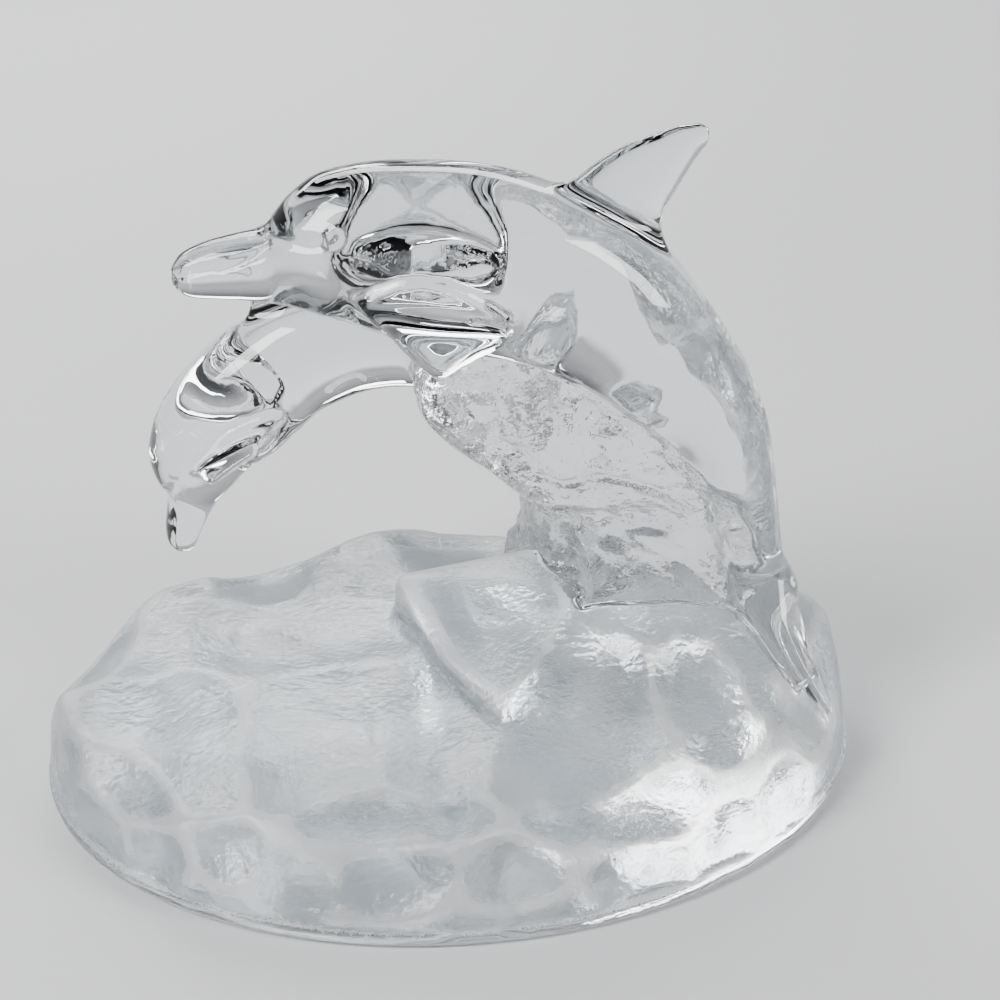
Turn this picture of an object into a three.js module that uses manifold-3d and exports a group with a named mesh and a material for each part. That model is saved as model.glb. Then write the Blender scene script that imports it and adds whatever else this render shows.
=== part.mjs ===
// A pressed-crystal figurine: two dolphins leaping to the left off a rock of clear glass, on an
// oval frosted base. It is one casting, so every form below is joined into a single closed solid.
// Millimetres, +Z up, +X to the right. The origin is under the middle of the figure, on its foot.
import * as THREE from 'three';
import { ConvexGeometry } from 'three/addons/geometries/ConvexGeometry.js';
import { mergeVertices } from 'three/addons/utils/BufferGeometryUtils.js';
import Module from 'manifold-3d';

// Oval base
const BASE_LENGTH = 160;
const BASE_DEPTH = 115;
const RIM_HEIGHT = 3;
const RIM_BEVEL = 0.8;
const PLATEAU_HEIGHT = 18.5;
const MOUND_HEIGHT = 31;
const BACK_DROP = 2.2;
const FRONT_SLOPE_WIDTH = 17;
const END_SLOPE_WIDTH = 7;
const SCOOP_DEPTH = 2;
const LOBE_REACH = 3.4;
const LOBE_RISE = 0.8;
const TONGUE_HEIGHT = 28;

// Rock that carries both dolphins
const ROCK_LENGTH = 50;
const ROCK_HEIGHT = 92;
const ROCK_SINK = 8;

// Dolphins: length from beak to fluke root, and half the greatest body depth
const LARGE_LENGTH = 152;
const LARGE_GIRTH = 16.8;
const SMALL_LENGTH = 117;
const SMALL_GIRTH = 12;

// The large dolphin's tail stands this far in from the base's right end, and this far up. The
// small dolphin's tail is placed from the large one's.
const TAIL_INSET = 17.5;
const TAIL_HEIGHT = 31;
const SMALL_TAIL_LEFT = 31.5;
const SMALL_TAIL_BEHIND = 23;
const SMALL_TAIL_ABOVE = 29;

// Fins, as spans in millimetres
const LARGE_DORSAL_SPAN = 20.7;
const LARGE_FLIPPER_SPAN = 15.4;
const LARGE_FLUKE_SPAN = 27;
const SMALL_DORSAL_SPAN = 12;
const SMALL_FLIPPER_SPAN = 11;
const SMALL_FLUKE_SPAN = 17;

// Smoothness of the facets
const TOP_GRID = 16;
const SCOOP_SIDES = 14;
const SLOPE_RINGS = 5;
const BODY_SIDES = 20;
const FIN_SIDES = 8;
const ROCK_SIDES = 24;

const HALF_LENGTH = BASE_LENGTH / 2;
const HALF_DEPTH = BASE_DEPTH / 2;
const LARGE_TAIL = new THREE.Vector3(HALF_LENGTH - TAIL_INSET, 0, TAIL_HEIGHT);
const SMALL_TAIL = new THREE.Vector3(-SMALL_TAIL_LEFT, SMALL_TAIL_BEHIND, SMALL_TAIL_ABOVE).add(LARGE_TAIL);
const UP = new THREE.Vector3(0, 0, 1);
const SIDE = new THREE.Vector3(0, 1, 0);

// How a dolphin's section changes along it: share of the length from the beak, then the height of
// the back, the depth of the belly and the half width, each as a share of the girth.
const BODY_SECTIONS = [
  [0, 0.1, 0.1, 0.12],
  [0.013, 0.225, 0.215, 0.22],
  [0.045, 0.32, 0.28, 0.29],
  [0.078, 0.357, 0.335, 0.34],
  [0.104, 0.39, 0.39, 0.39],
  [0.121, 0.52, 0.43, 0.45],
  [0.137, 0.665, 0.48, 0.53],
  [0.155, 0.785, 0.545, 0.61],
  [0.172, 0.87, 0.605, 0.68],
  [0.195, 0.92, 0.69, 0.75],
  [0.223, 0.955, 0.79, 0.81],
  [0.283, 0.985, 0.965, 0.87],
  [0.335, 1, 1, 0.88],
  [0.4, 0.965, 0.965, 0.86],
  [0.5, 0.89, 0.89, 0.8],
  [0.6, 0.75, 0.75, 0.68],
  [0.7, 0.64, 0.64, 0.57],
  [0.79, 0.495, 0.495, 0.42],
  [0.88, 0.375, 0.375, 0.31],
  [0.95, 0.32, 0.32, 0.27],
  [1, 0.28, 0.28, 0.25],
];

// The mouth is a fold along each side of the beak, as shares of the length and of the girth
const MOUTH_END = 0.118;
const MOUTH_DEPTH = 0.07;

// Poses: the line of the body from the beak to the fluke root, in shares of the length, from the
// fluke root. Each pair is how far left and how far up.
const LARGE_POSE = [
  [0.716, 0.487], [0.609, 0.497], [0.477, 0.503], [0.345, 0.483], [0.234, 0.433],
  [0.148, 0.349], [0.082, 0.25], [0.043, 0.145], [0.016, 0.046], [0, 0],
];
const SMALL_POSE = [
  [0.712, -0.214], [0.684, -0.111], [0.664, -0.055], [0.633, 0.016], [0.572, 0.084], [0.502, 0.137],
  [0.427, 0.162], [0.35, 0.163], [0.265, 0.148], [0.162, 0.115], [0.06, 0.053], [0, 0],
];

// Where the flippers sit and how they spread: share of the length, drop and spread of the root as
// shares of the girth, how far the span leans down and back for each unit outwards, then how far
// the blade is turned towards the belly, in degrees.
const LARGE_FLIPPER = { at: 0.29, drop: 0.2, spread: 0.6, down: 0.58, back: 0, turn: 0 };
const SMALL_FLIPPER = { at: 0.27, drop: 0.12, spread: 0.6, down: -0.1, back: -0.4, turn: 24 };
const DORSAL_AT = 0.458;

// The lobes round the wall of the base: how many, and the direction of the first
const LOBES = 8;
const LOBE_START = THREE.MathUtils.degToRad(140);

// Fin outlines: share of the span from the root, then the leading edge, the trailing edge and the
// thickness, each as a share of the span.
const DORSAL_OUTLINE = [
  [-0.25, -0.6, 0.62, 0.3],
  [0, -0.5, 0.5, 0.27],
  [0.17, -0.41, 0.4, 0.24],
  [0.4, -0.3, 0.395, 0.2],
  [0.6, -0.17, 0.4, 0.17],
  [0.75, -0.02, 0.41, 0.14],
  [0.9, 0.13, 0.43, 0.11],
  [1, 0.28, 0.37, 0.06],
];
const FLIPPER_OUTLINE = [
  [-0.35, -0.78, 0.72, 0.36],
  [0, -0.8, 0.74, 0.32],
  [0.2, -0.77, 0.76, 0.28],
  [0.4, -0.62, 0.8, 0.24],
  [0.55, -0.46, 0.78, 0.21],
  [0.7, -0.34, 0.55, 0.18],
  [0.85, -0.2, 0.32, 0.14],
  [1, -0.02, 0.14, 0.08],
];
const FLUKE_OUTLINE = [
  [-0.14, -0.24, 0.22, 0.42],
  [0.1, -0.21, 0.24, 0.38],
  [0.35, -0.12, 0.26, 0.24],
  [0.6, 0, 0.29, 0.16],
  [0.85, 0.16, 0.32, 0.1],
  [1, 0.28, 0.34, 0.07],
];

// Levels of the rock, in shares of its height: height, then its four corners, front left, front
// right, back right and back left. Each corner is how far left of the large dolphin's tail and
// how far back it lies, in shares of the rock's length.
const ROCK_LEVELS = [
  [0.22, 0.71, 0.08, 0.01, -0.02, 0.01, 0.64, 0.95, 0.78],
  [0.34, 0.71, 0.08, 0.05, 0, 0.03, 0.64, 0.89, 0.72],
  [0.42, 0.72, 0.08, 0.07, 0, 0.07, 0.64, 0.88, 0.68],
  [0.5, 0.75, 0.08, 0.11, -0.02, 0.11, 0.62, 0.89, 0.62],
  [0.56, 0.82, 0.08, 0.15, -0.04, 0.17, 0.62, 0.93, 0.58],
  [0.61, 0.94, 0, 0.21, -0.06, 0.23, 0.62, 1.01, 0.58],
  [0.655, 1.01, -0.02, 0.27, -0.08, 0.29, 0.62, 1.09, 0.58],
  [0.71, 1.1, -0.04, 0.33, -0.1, 0.35, 0.6, 1.17, 0.56],
  [0.77, 1.24, -0.04, 0.39, -0.1, 0.41, 0.6, 1.27, 0.54],
  [0.83, 1.33, -0.02, 0.45, -0.08, 0.49, 0.58, 1.31, 0.52],
  [0.88, 1.31, 0.04, 0.57, -0.06, 0.57, 0.54, 1.28, 0.52],
  [0.94, 1.21, 0.08, 0.73, 0, 0.73, 0.48, 1.21, 0.48],
  [1, 1.13, 0.12, 0.81, 0.04, 0.81, 0.4, 1.13, 0.4],
];

// Shallow scoops that dimple the base: x and y, then the reach along x and y, as shares of the
// base's half length and half depth, and the depth as a share of the scoops' depth.
const SCOOPS = [
  [-0.64, -0.2, 0.15, 0.5, 1.1], [-0.34, -0.31, 0.21, 0.5, 1.4], [-0.05, -0.35, 0.17, 0.42, 1.3],
  [-0.81, -0.12, 0.13, 0.36, 1], [-0.74, -0.5, 0.16, 0.2, 1.1], [-0.87, -0.48, 0.12, 0.24, 1.2],
  [-0.71, -0.68, 0.14, 0.2, 1.3], [-0.55, -0.76, 0.14, 0.22, 1.4], [-0.41, -0.87, 0.14, 0.2, 1.4],
  [-0.19, -0.92, 0.18, 0.2, 1.4], [-0.23, -0.7, 0.16, 0.15, 1.2], [-0.04, -0.77, 0.12, 0.15, 1.1],
  [0.08, -0.94, 0.18, 0.2, 1.4], [0.3, -0.46, 0.19, 0.38, 1.5], [0.2, -0.8, 0.13, 0.15, 1.2],
  [0.4, -0.78, 0.17, 0.17, 1.2], [0.34, -0.93, 0.17, 0.2, 1.4], [0.55, -0.83, 0.13, 0.2, 1.3],
  [0.56, -0.36, 0.14, 0.2, 1.2], [0.6, -0.58, 0.12, 0.18, 1], [0.73, -0.66, 0.14, 0.24, 1.3],
  [0.84, -0.4, 0.13, 0.24, 1.2], [-0.39, 0.26, 0.3, 0.32, 1.2], [0.14, -0.52, 0.11, 0.22, 0.9],
  [-0.47, 0.7, 0.14, 0.3, 1.7], [-0.88, 0.2, 0.11, 0.22, 1.3], [0.07, 0.82, 0.2, 0.3, 1.7],
  [0.38, 0.82, 0.17, 0.2, 1.2], [0.67, 0.62, 0.15, 0.22, 1.2],
];

// Corners of the tongue of glass before the rock, placed as the rock's are, with the height as a
// share of the tongue's. The first is the upright crest and the third is the tip.
const TONGUE_CORNERS = [
  [1.46, 0.38, 1], [1.29, -0.06, 0.85], [1.09, -0.42, 0.74], [0.81, -0.06, 0.93],
  [0.71, 0.16, 1.07], [0.81, 0.48, 1.07], [1.33, 0.68, 0.6], [0.89, 0.8, 0.62],
];

function smoothstep(value) {
  const t = Math.min(1, Math.max(0, value));
  return t * t * (3 - 2 * t);
}

// Reads a table of rows [share, value, value...] with a smooth curve through every column
function readTable(rows, share) {
  const last = rows.length - 1;
  let i = 0;
  while (i < last - 1 && share > rows[i + 1][0]) i += 1;
  const [a, b] = [rows[i], rows[i + 1]];
  const before = rows[Math.max(0, i - 1)];
  const after = rows[Math.min(last, i + 2)];
  const width = b[0] - a[0];
  const t = Math.min(1, Math.max(0, (share - a[0]) / width));
  const slope = (from, to, k) => (to[k] - from[k]) / (to[0] - from[0]);
  return a.slice(1).map((_, n) => {
    const k = n + 1;
    const start = slope(before, b, k) * width;
    const end = slope(a, after, k) * width;
    const rise = b[k] - a[k];
    return a[k] + start * t + (3 * rise - 2 * start - end) * t * t + (start + end - 2 * rise) * t ** 3;
  });
}

// Joins rings of equally many points into one closed skin, with a point in the middle of each end
function loft(rings) {
  const sides = rings[0].length;
  const middle = (ring) => ring.reduce((sum, p) => sum.add(p), new THREE.Vector3()).divideScalar(sides);
  const points = [middle(rings[0]), ...rings.flat(), middle(rings[rings.length - 1])];
  const faces = [];
  for (let j = 0; j < sides; j += 1) {
    const k = (j + 1) % sides;
    faces.push([0, 1 + k, 1 + j]);
    for (let i = 0; i < rings.length - 1; i += 1) {
      const row = 1 + i * sides;
      faces.push([row + j, row + k, row + sides + k], [row + j, row + sides + k, row + sides + j]);
    }
    const row = 1 + (rings.length - 1) * sides;
    faces.push([points.length - 1, row + j, row + k]);
  }
  const volume = faces.reduce((sum, [a, b, c]) => (
    sum + points[a].dot(new THREE.Vector3().crossVectors(points[b], points[c]))), 0);
  const index = faces.flatMap(([a, b, c]) => (volume > 0 ? [a, b, c] : [a, c, b]));
  const geometry = new THREE.BufferGeometry().setFromPoints(points);
  geometry.setIndex(index);
  return geometry;
}

// Centre, direction to the tail and direction of the back at a share of a dolphin's length
function spineAt(dolphin, share) {
  const centre = dolphin.spine.getPointAt(share);
  const along = dolphin.spine.getTangentAt(share);
  const back = new THREE.Vector3().crossVectors(along, SIDE).normalize();
  return { centre, along, back };
}

function makeDolphin({ length, girth, tail, pose }) {
  const points = pose.map(([left, up]) => (
    new THREE.Vector3(tail.x - left * length, tail.y, tail.z + up * length)));
  return { length, girth, spine: new THREE.CatmullRomCurve3(points, false, 'centripetal') };
}

// The body, with a fold for the mouth in the middle of each side of the beak
function bodyGeometry(dolphin) {
  const shares = [];
  BODY_SECTIONS.forEach(([share], i) => {
    const next = BODY_SECTIONS[i + 1];
    shares.push(share);
    if (next && next[0] - share > 0.05) shares.push((share + next[0]) / 2);
  });
  const rings = shares.map((share) => {
    const { centre, along, back } = spineAt(dolphin, share);
    const side = new THREE.Vector3().crossVectors(back, along).normalize();
    const [up, down, flank] = readTable(BODY_SECTIONS, share).map((v) => v * dolphin.girth);
    const fold = MOUTH_DEPTH * dolphin.girth * smoothstep((MOUTH_END - share) / 0.02) * smoothstep(share / 0.02);
    return Array.from({ length: BODY_SIDES }, (_, k) => {
      const angle = (k / BODY_SIDES) * 2 * Math.PI;
      const rise = Math.cos(angle);
      const atMouth = Math.abs(rise) < 1e-6 ? fold : 0;
      return centre.clone()
        .addScaledVector(back, rise * (rise > 0 ? up : down))
        .addScaledVector(side, Math.sin(angle) * (flank - atMouth));
    });
  });
  return loft(rings);
}

// A fin that grows from a root along its span, with its chord and thickness across it
function finGeometry({ root, spanAxis, chordAxis, span, outline }) {
  const span1 = spanAxis.clone().normalize();
  const thick = new THREE.Vector3().crossVectors(span1, chordAxis).normalize();
  const chord = new THREE.Vector3().crossVectors(thick, span1).normalize();
  const first = outline[0][0];
  const steps = 8;
  const rings = Array.from({ length: steps + 1 }, (_, i) => {
    const share = first + (1 - first) * Math.sin((i / steps) * Math.PI / 2) ** 0.9;
    const [lead, trail, depth] = readTable(outline, share).map((v) => v * span);
    return Array.from({ length: FIN_SIDES }, (_, k) => {
      const angle = (k / FIN_SIDES) * 2 * Math.PI;
      const across = (lead + trail) / 2 + ((trail - lead) / 2) * Math.cos(angle);
      return root.clone()
        .addScaledVector(span1, share * span)
        .addScaledVector(chord, across)
        .addScaledVector(thick, (depth / 2) * Math.sin(angle));
    });
  });
  return loft(rings);
}

function dorsalFin(dolphin, span) {
  const { centre, along, back } = spineAt(dolphin, DORSAL_AT);
  const [up] = readTable(BODY_SECTIONS, DORSAL_AT);
  const root = centre.clone().addScaledVector(back, up * dolphin.girth - 0.03 * span);
  return finGeometry({ root, spanAxis: back, chordAxis: along, span, outline: DORSAL_OUTLINE });
}

// A flipper spreads from the flank; side is -1 or 1
function flipper(dolphin, span, side, { at, drop, spread, down, back: sweep, turn }) {
  const { centre, along, back } = spineAt(dolphin, at);
  const root = centre.clone()
    .addScaledVector(back, -drop * dolphin.girth)
    .addScaledVector(SIDE, side * spread * dolphin.girth);
  const spanAxis = SIDE.clone().multiplyScalar(side)
    .addScaledVector(back, -down)
    .addScaledVector(along, sweep);
  const pitch = THREE.MathUtils.degToRad(turn);
  const chordAxis = along.clone().multiplyScalar(Math.cos(pitch)).addScaledVector(back, -Math.sin(pitch));
  return finGeometry({ root, spanAxis, chordAxis, span, outline: FLIPPER_OUTLINE });
}

// A fluke spreads sideways from the end of the tail and sweeps down over the base
function fluke(dolphin, span, side) {
  const { centre, along } = spineAt(dolphin, 0.985);
  const spanAxis = SIDE.clone().multiplyScalar(side).addScaledVector(UP, -0.36).addScaledVector(along, 0.12);
  const chordAxis = new THREE.Vector3(0.9, 0, -0.45);
  return finGeometry({ root: centre, spanAxis, chordAxis, span, outline: FLUKE_OUTLINE });
}

// The rock: levels with four corners, whose edges bow out a little
function rockGeometry() {
  const steps = 13;
  const low = ROCK_LEVELS[0][0];
  const rings = Array.from({ length: steps + 1 }, (_, i) => {
    const share = low + ((1 - low) * i) / steps;
    const corners = readTable(ROCK_LEVELS, share).map((value, n) => (
      n % 2 === 0 ? LARGE_TAIL.x - value * ROCK_LENGTH : value * ROCK_LENGTH));
    const height = share * ROCK_HEIGHT - (i === 0 ? ROCK_SINK : 0);
    const centre = new THREE.Vector2(
      (corners[0] + corners[2] + corners[4] + corners[6]) / 4,
      (corners[1] + corners[3] + corners[5] + corners[7]) / 4,
    );
    const edge = ROCK_SIDES / 4;
    return Array.from({ length: ROCK_SIDES }, (_, k) => {
      const c = Math.floor(k / edge);
      const t = (k % edge) / edge;
      const a = new THREE.Vector2(corners[2 * c], corners[2 * c + 1]);
      const d = (c + 1) % 4;
      const b = new THREE.Vector2(corners[2 * d], corners[2 * d + 1]);
      const flat = a.lerp(b, t);
      const bow = 1 + 0.06 * Math.sin(Math.PI * t);
      const spot = flat.sub(centre).multiplyScalar(bow).add(centre);
      return new THREE.Vector3(spot.x, spot.y, height);
    });
  });
  return loft(rings);
}

// How far the wall swells out at a spot, from -1 to 1: eight lobes round the base
function lobeAt(cx, cy) {
  return Math.cos(LOBES * (Math.atan2(cy, cx) - LOBE_START));
}

// How wide the rounded wall is in the direction of a spot: widest at the front, and narrow where
// a lobe swells out
function slopeWidth(cx, cy) {
  const front = Math.max(0, -cy) ** 1.4;
  return END_SLOPE_WIDTH + (FRONT_SLOPE_WIDTH - END_SLOPE_WIDTH) * front - LOBE_REACH * lobeAt(cx, cy);
}

// Height of the base at a spot, before it is carved: a rounded wall up to a plateau that climbs
// to the rock
function baseHeight(x, y) {
  const radius = Math.min(1, Math.hypot(x / HALF_LENGTH, y / HALF_DEPTH));
  const [cx, cy] = [x / HALF_LENGTH, y / HALF_DEPTH].map((v) => v / Math.max(radius, 0.01));
  const width = slopeWidth(cx, cy);
  const inset = Math.min(1, (HALF_DEPTH * (1 - radius)) / width);
  const climb = Math.exp(-(((x - 0.55 * HALF_LENGTH) / (0.42 * HALF_LENGTH)) ** 2)
    - ((y - 0.1 * HALF_DEPTH) / (0.62 * HALF_DEPTH)) ** 2);
  const plateau = PLATEAU_HEIGHT - BACK_DROP * smoothstep(y / (0.8 * HALF_DEPTH))
    + LOBE_RISE * lobeAt(cx, cy) * smoothstep((radius - 0.55) / 0.3);
  const top = plateau + (MOUND_HEIGHT - plateau) * climb;
  return RIM_HEIGHT + (top - RIM_HEIGHT) * Math.sqrt(1 - (1 - inset) ** 2);
}

// A scoop: a shallow dish that opens along the base's own slope
function scoopGeometry([shareX, shareY, reachX, reachY, depthShare]) {
  const [x, y] = [shareX * HALF_LENGTH, shareY * HALF_DEPTH];
  const step = HALF_LENGTH / 40;
  const slopeX = (baseHeight(x + step, y) - baseHeight(x - step, y)) / (2 * step);
  const slopeY = (baseHeight(x, y + step) - baseHeight(x, y - step)) / (2 * step);
  const normal = new THREE.Vector3(-slopeX, -slopeY, 1).normalize();
  const across = new THREE.Vector3(1, 0, slopeX).normalize();
  const along = new THREE.Vector3().crossVectors(normal, across).normalize();
  const centre = new THREE.Vector3(x, y, baseHeight(x, y));
  const depth = depthShare * SCOOP_DEPTH;
  const spread = [0.45, 0.85, 1.3, 1.8, 1.8];
  const rings = spread.map((radius, i) => Array.from({ length: SCOOP_SIDES }, (_, k) => {
    const angle = (k / SCOOP_SIDES) * 2 * Math.PI;
    const lift = i === spread.length - 1 ? MOUND_HEIGHT : depth * (radius * radius - 1);
    return centre.clone()
      .addScaledVector(across, radius * reachX * HALF_LENGTH * Math.cos(angle))
      .addScaledVector(along, radius * reachY * HALF_DEPTH * Math.sin(angle))
      .addScaledVector(normal, lift);
  }));
  return loft(rings);
}

// Spots of a square grid on a unit disc, so that the base's top has cells of even size
function discSpot(u, v) {
  if (u === 0 && v === 0) return [0, 0];
  const [radius, angle] = Math.abs(u) > Math.abs(v)
    ? [u, (Math.PI / 4) * (v / u)]
    : [v, Math.PI / 2 - (Math.PI / 4) * (u / v)];
  return [radius * Math.cos(angle), radius * Math.sin(angle)];
}

// The base: a flat foot, an upright rim, a rounded wall and a top on an even grid
function baseGeometry() {
  const edge = [];
  for (let k = 0; k < 4 * TOP_GRID; k += 1) {
    const step = -1 + (2 * (k % TOP_GRID)) / TOP_GRID;
    const side = Math.floor(k / TOP_GRID);
    edge.push([[step, -1], [1, step], [-step, 1], [-1, -step]][side]);
  }
  const wallSpot = (u, v, slope) => {
    const [cx, cy] = discSpot(u, v);
    const shrink = 1 - (slopeWidth(cx, cy) * (1 - Math.cos(slope))) / HALF_DEPTH;
    const [x, y] = [cx * HALF_LENGTH * shrink, cy * HALF_DEPTH * shrink];
    return new THREE.Vector3(x, y, baseHeight(x, y));
  };
  const footRing = (inset, height) => edge.map(([u, v]) => {
    const [cx, cy] = discSpot(u, v);
    return new THREE.Vector3(cx * (HALF_LENGTH - inset), cy * (HALF_DEPTH - inset), height);
  });
  const rings = [footRing(RIM_BEVEL, 0), footRing(0, RIM_BEVEL), footRing(0, RIM_HEIGHT)];
  for (let i = 1; i <= SLOPE_RINGS; i += 1) {
    rings.push(edge.map(([u, v]) => wallSpot(u, v, (i / SLOPE_RINGS) * (Math.PI / 2))));
  }
  const count = edge.length;
  const points = [new THREE.Vector3(), ...rings.flat()];
  const faces = [];
  for (let k = 0; k < count; k += 1) {
    const next = (k + 1) % count;
    faces.push([0, 1 + next, 1 + k]);
    for (let i = 0; i < rings.length - 1; i += 1) {
      const row = 1 + i * count;
      faces.push([row + k, row + next, row + count + next], [row + k, row + count + next, row + count + k]);
    }
  }
  const lastRow = 1 + (rings.length - 1) * count;
  const gridIndex = (i, j) => {
    if (j === 0 && i < TOP_GRID) return lastRow + i;
    if (i === TOP_GRID && j < TOP_GRID) return lastRow + TOP_GRID + j;
    if (j === TOP_GRID && i > 0) return lastRow + 2 * TOP_GRID + (TOP_GRID - i);
    if (i === 0 && j > 0) return lastRow + 3 * TOP_GRID + (TOP_GRID - j);
    return lastRow + count + (j - 1) * (TOP_GRID - 1) + (i - 1);
  };
  for (let j = 1; j < TOP_GRID; j += 1) {
    for (let i = 1; i < TOP_GRID; i += 1) {
      const [u, v] = [-1 + (2 * i) / TOP_GRID, -1 + (2 * j) / TOP_GRID];
      const radius = Math.max(Math.abs(u), Math.abs(v));
      const rim = radius > 0 ? wallSpot(u / radius, v / radius, Math.PI / 2) : new THREE.Vector3();
      const [x, y] = [rim.x * radius, rim.y * radius];
      points.push(new THREE.Vector3(x, y, baseHeight(x, y)));
    }
  }
  for (let j = 0; j < TOP_GRID; j += 1) {
    for (let i = 0; i < TOP_GRID; i += 1) {
      const [a, b, c, d] = [gridIndex(i, j), gridIndex(i + 1, j), gridIndex(i + 1, j + 1), gridIndex(i, j + 1)];
      if ((i < TOP_GRID / 2) === (j < TOP_GRID / 2)) faces.push([a, b, d], [b, c, d]);
      else faces.push([a, b, c], [a, c, d]);
    }
  }
  const geometry = new THREE.BufferGeometry().setFromPoints(points);
  geometry.setIndex(faces.flat());
  return geometry;
}

// The tongue of glass before the rock, from its corners down into the base
function tongueGeometry() {
  const top = TONGUE_CORNERS.map(([left, behind, share]) => new THREE.Vector3(
    LARGE_TAIL.x - left * ROCK_LENGTH, behind * ROCK_LENGTH, share * TONGUE_HEIGHT));
  const foot = top.map(({ x, y }) => new THREE.Vector3(x, y, PLATEAU_HEIGHT / 2));
  return new ConvexGeometry([...top, ...foot]);
}

const wasm = await Module();
wasm.setup();

function toSolid(geometry) {
  const bare = new THREE.BufferGeometry();
  bare.setAttribute('position', geometry.getAttribute('position'));
  bare.setIndex(geometry.getIndex());
  const merged = mergeVertices(bare, 1e-4);
  return new wasm.Manifold(new wasm.Mesh({
    numProp: 3,
    vertProperties: new Float32Array(merged.getAttribute('position').array),
    triVerts: new Uint32Array(merged.getIndex().array),
  }));
}

function toGeometry(solid) {
  const mesh = solid.getMesh();
  const geometry = new THREE.BufferGeometry();
  geometry.setAttribute('position', new THREE.BufferAttribute(mesh.vertProperties, 3));
  geometry.setIndex(new THREE.BufferAttribute(mesh.triVerts, 1));
  geometry.computeVertexNormals();
  return geometry;
}

const large = makeDolphin({ length: LARGE_LENGTH, girth: LARGE_GIRTH, tail: LARGE_TAIL, pose: LARGE_POSE });
const small = makeDolphin({ length: SMALL_LENGTH, girth: SMALL_GIRTH, tail: SMALL_TAIL, pose: SMALL_POSE });

const forms = [
  tongueGeometry(),
  rockGeometry(),
  bodyGeometry(large),
  dorsalFin(large, LARGE_DORSAL_SPAN),
  flipper(large, LARGE_FLIPPER_SPAN, -1, LARGE_FLIPPER),
  flipper(large, LARGE_FLIPPER_SPAN, 1, LARGE_FLIPPER),
  fluke(large, LARGE_FLUKE_SPAN, -1),
  fluke(large, LARGE_FLUKE_SPAN, 1),
  bodyGeometry(small),
  dorsalFin(small, SMALL_DORSAL_SPAN),
  flipper(small, SMALL_FLIPPER_SPAN, -1, SMALL_FLIPPER),
  flipper(small, SMALL_FLIPPER_SPAN, 1, SMALL_FLIPPER),
  fluke(small, SMALL_FLUKE_SPAN, -1),
  fluke(small, SMALL_FLUKE_SPAN, 1),
];
const carvedBase = SCOOPS.map((scoop) => toSolid(scoopGeometry(scoop)))
  .reduce((base, scoop) => base.subtract(scoop), toSolid(baseGeometry()));
const casting = forms.map(toSolid).reduce((whole, form) => whole.add(form), carvedBase);

const crystal = new THREE.MeshStandardMaterial({ color: 0xe4ebef, roughness: 0.08, metalness: 0 });
const figurine = new THREE.Mesh(toGeometry(casting), crystal);
figurine.name = 'dolphin_figurine';

const group = new THREE.Group();
group.add(figurine);

export default group;
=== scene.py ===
import itertools
import math

import bmesh
import bpy
import numpy as np
import openvdb as vdb
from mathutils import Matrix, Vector


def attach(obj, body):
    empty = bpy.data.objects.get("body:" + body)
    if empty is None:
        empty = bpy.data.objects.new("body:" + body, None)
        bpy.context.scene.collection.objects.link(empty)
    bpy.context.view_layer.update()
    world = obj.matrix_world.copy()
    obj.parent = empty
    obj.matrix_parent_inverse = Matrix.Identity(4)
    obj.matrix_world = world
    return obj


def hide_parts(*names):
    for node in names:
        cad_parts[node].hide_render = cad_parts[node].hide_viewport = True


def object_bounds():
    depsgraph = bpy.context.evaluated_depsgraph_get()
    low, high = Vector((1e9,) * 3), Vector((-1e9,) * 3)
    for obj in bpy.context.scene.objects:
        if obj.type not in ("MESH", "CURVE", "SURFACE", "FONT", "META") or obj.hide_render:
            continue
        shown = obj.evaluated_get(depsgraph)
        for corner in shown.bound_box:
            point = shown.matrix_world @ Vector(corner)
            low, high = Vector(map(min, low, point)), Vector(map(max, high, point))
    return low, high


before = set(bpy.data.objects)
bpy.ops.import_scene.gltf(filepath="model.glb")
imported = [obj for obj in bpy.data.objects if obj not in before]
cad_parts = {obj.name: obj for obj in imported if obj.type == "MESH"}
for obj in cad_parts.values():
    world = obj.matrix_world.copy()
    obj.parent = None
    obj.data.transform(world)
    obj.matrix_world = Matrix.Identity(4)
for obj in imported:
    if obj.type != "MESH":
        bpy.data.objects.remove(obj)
cad_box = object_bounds()

# Oval base
BASE_LENGTH = 160.0
BASE_DEPTH = 115.0
RIM_HEIGHT = 3.0
RIM_BEVEL = 0.8
RIM_STEP = 0.7
PLATEAU_HEIGHT = 18.5
MOUND_HEIGHT = 31.0
BACK_DROP = 2.2
FRONT_SLOPE_WIDTH = 17.0
END_SLOPE_WIDTH = 7.0
SCOOP_DEPTH = 2.0
LOBE_REACH = 3.4
LOBE_RISE = 0.8
TONGUE_HEIGHT = 28.0

# Rock that carries both dolphins
ROCK_LENGTH = 50.0
ROCK_HEIGHT = 92.0
ROCK_SINK = 8.0

# Dolphins: length from beak to fluke root, and half the greatest body depth
LARGE_LENGTH = 152.0
LARGE_GIRTH = 16.8
SMALL_LENGTH = 117.0
SMALL_GIRTH = 12.0
TAIL_INSET = 17.5
TAIL_HEIGHT = 31.0
SMALL_TAIL_LEFT = 31.5
SMALL_TAIL_BEHIND = 23.0
SMALL_TAIL_ABOVE = 29.0

# Fins, as spans in millimetres
LARGE_DORSAL_SPAN = 20.7
LARGE_FLIPPER_SPAN = 15.4
LARGE_FLUKE_SPAN = 27.0
SMALL_DORSAL_SPAN = 12.0
SMALL_FLIPPER_SPAN = 11.0
SMALL_FLUKE_SPAN = 17.0

# How fine the skin is, how far it is worked out around each form, and its most triangles
VOXEL = 0.6
BAND = 7
MOST_TRIANGLES = 190000

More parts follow.
